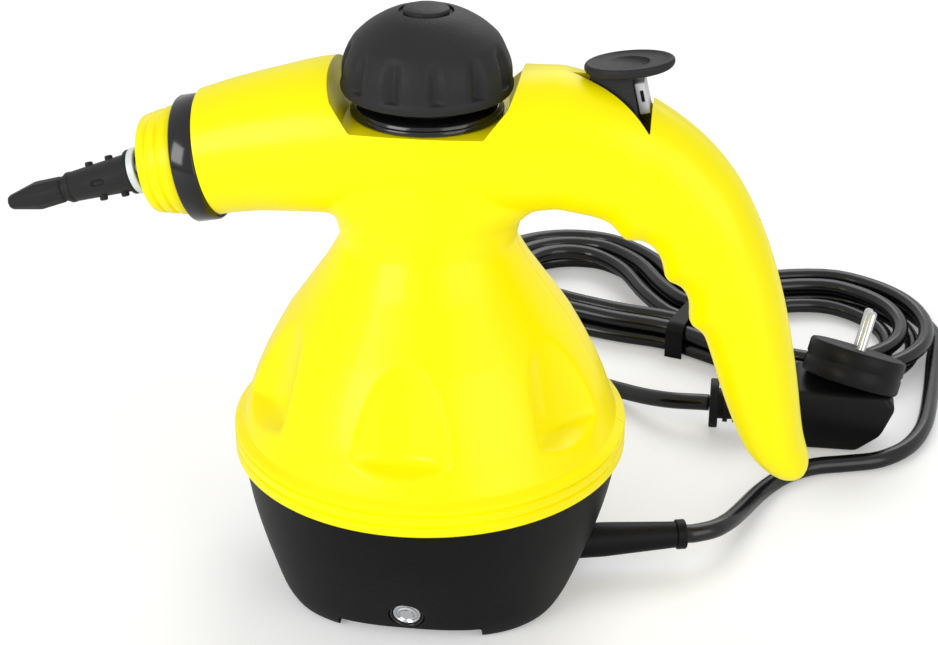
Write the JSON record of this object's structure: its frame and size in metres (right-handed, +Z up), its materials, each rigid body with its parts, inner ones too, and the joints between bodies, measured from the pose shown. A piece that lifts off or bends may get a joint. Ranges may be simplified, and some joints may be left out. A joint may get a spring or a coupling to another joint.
{
  "type": "handheld steam cleaner",
  "caption": "Handheld steam cleaner with a flask-shaped scooped housing, turning filler cap, curved grip with thumb trigger, angled spout with jet nozzle, round base and a tied mains cord.",
  "frame": {"origin": "on the surface that the cleaner stands on, under the middle of its length and width without the cord", "axes": "+X towards the grip (the spout points to -X), -Y towards the indicator lamp, +Z up"},
  "size_m": [0.3501, 0.3418, 0.2089],
  "materials": {
    "yellow_plastic": "glossy moulded plastic",
    "satin_black": "satin",
    "matt_black": "matt",
    "gloss_black": "gloss",
    "cord_black": "smooth sheath",
    "white_seal": "matt",
    "grey_plastic": "satin",
    "aluminium": "pressed",
    "steel": "plain",
    "brass": "plain",
    "red_rubber": "matt",
    "clear_lens": "clear, facetted behind"
  },
  "bodies": {
    "housing": {"body_shell_front": "yellow_plastic", "body_shell_rear": "yellow_plastic", "spout_collar": "yellow_plastic", "plug_body": "satin_black", "plug_boot": "satin_black", "base_housing": "matt_black", "steam_outlet": "matt_black", "thermostat": "matt_black", "cord_boot": "matt_black", "cord_tie": "matt_black", "spout_band": "gloss_black", "filler_collar": "gloss_black", "cord_lead": "cord_black", "cord_hank": "cord_black", "cord_tail": "cord_black", "thermal_fuse": "white_seal", "terminal_block": "white_seal", "cord_clamp": "grey_plastic", "boiler_lower": "aluminium", "boiler_upper": "aluminium", "boiler_bracket": "steel", "boiler_bolt_1": "steel", "boiler_bolt_2": "steel", "boiler_bolt_3": "steel", "boiler_bolt_4": "steel", "heating_element": "steel", "valve_spring": "steel", "trigger_pin": "steel", "plug_pin_near": "steel", "plug_pin_far": "steel", "base_screw_1": "steel", "base_screw_2": "steel", "base_screw_3": "steel", "base_screw_4": "steel", "valve_body": "brass", "steam_pipe": "brass", "outlet_pipe": "brass", "boiler_gasket": "red_rubber", "indicator_lamp": "red_rubber", "indicator_lens": "clear_lens"},
    "cap_seal": {"cap_seal_ring": "red_rubber"},
    "cap_ring": {"cap_washer": "steel"},
    "cap_plug": {"cap_stopper": "satin_black", "cap_spring": "steel", "relief_spring": "steel"},
    "cap_grip": {"cap_dome": "satin_black", "cap_badge": "satin_black"},
    "relief_valve": {"relief_poppet": "brass"},
    "trigger_lever": {"trigger": "satin_black"},
    "lock": {"lock_slider": "grey_plastic"},
    "valve_stem": {"valve_plunger": "brass"},
    "nozzle_seal": {"outlet_seal": "white_seal"},
    "nozzle": {"nozzle_body": "satin_black", "nozzle_tip": "satin_black"}
  },
  "joints": [
    {"name": "cap_lift", "type": "slide", "parent": "housing", "child": "cap_seal", "axis": [0, 0, 1], "range_m": [0, 0.07]},
    {"name": "cap_rise", "type": "slide", "parent": "cap_seal", "child": "cap_ring", "axis": [0, 0, 1], "range_m": [0, 0.0046]},
    {"name": "cap_turn", "type": "hinge", "parent": "cap_ring", "child": "cap_plug", "pos_m": [0.00904, 0, 0.18], "axis": [0, 0, 1], "range_deg": [0, 540]},
    {"name": "cap_press", "type": "slide", "parent": "cap_plug", "child": "cap_grip", "axis": [0, 0, -1], "range_m": [0, 0.003], "stiffness_N_per_m": 600, "springref_m": -0.004, "deforming": ["cap_spring"]},
    {"name": "relief_lift", "type": "slide", "parent": "cap_plug", "child": "relief_valve", "axis": [0, 0, 1], "range_m": [0, 0.0015], "stiffness_N_per_m": 500, "springref_m": -0.002, "deforming": ["relief_spring"]},
    {"name": "trigger_press", "type": "hinge", "parent": "housing", "child": "trigger_lever", "pos_m": [0.06204, 0, 0.173], "axis": [0, 1, 0], "range_deg": [0, 8], "stiffness_Nm_per_rad": 0.8, "springref_deg": -5.73},
    {"name": "lock_slide", "type": "slide", "parent": "trigger_lever", "child": "lock", "axis": [0.2177, 0, -0.976], "range_m": [0, 0.004]},
    {"name": "valve_push", "type": "slide", "parent": "housing", "child": "valve_stem", "axis": [0, 0, -1], "range_m": [0, 0.00242], "deforming": ["valve_spring"]},
    {"name": "nozzle_pull", "type": "slide", "parent": "housing", "child": "nozzle_seal", "axis": [-0.9537, 0, -0.3007], "range_m": [0, 0.025]},
    {"name": "nozzle_turn", "type": "hinge", "parent": "nozzle_seal", "child": "nozzle", "pos_m": [-0.07546, 0, 0.1517], "axis": [-0.9537, 0, -0.3007], "range_deg": [0, 60]}
  ],
  "couplings": [
    {"joint": "cap_rise", "follows": "cap_turn", "m_per_rad": 0.00047746},
    {"joint": "valve_push", "follows": "trigger_press", "m_per_rad": 0.0172}
  ]
}
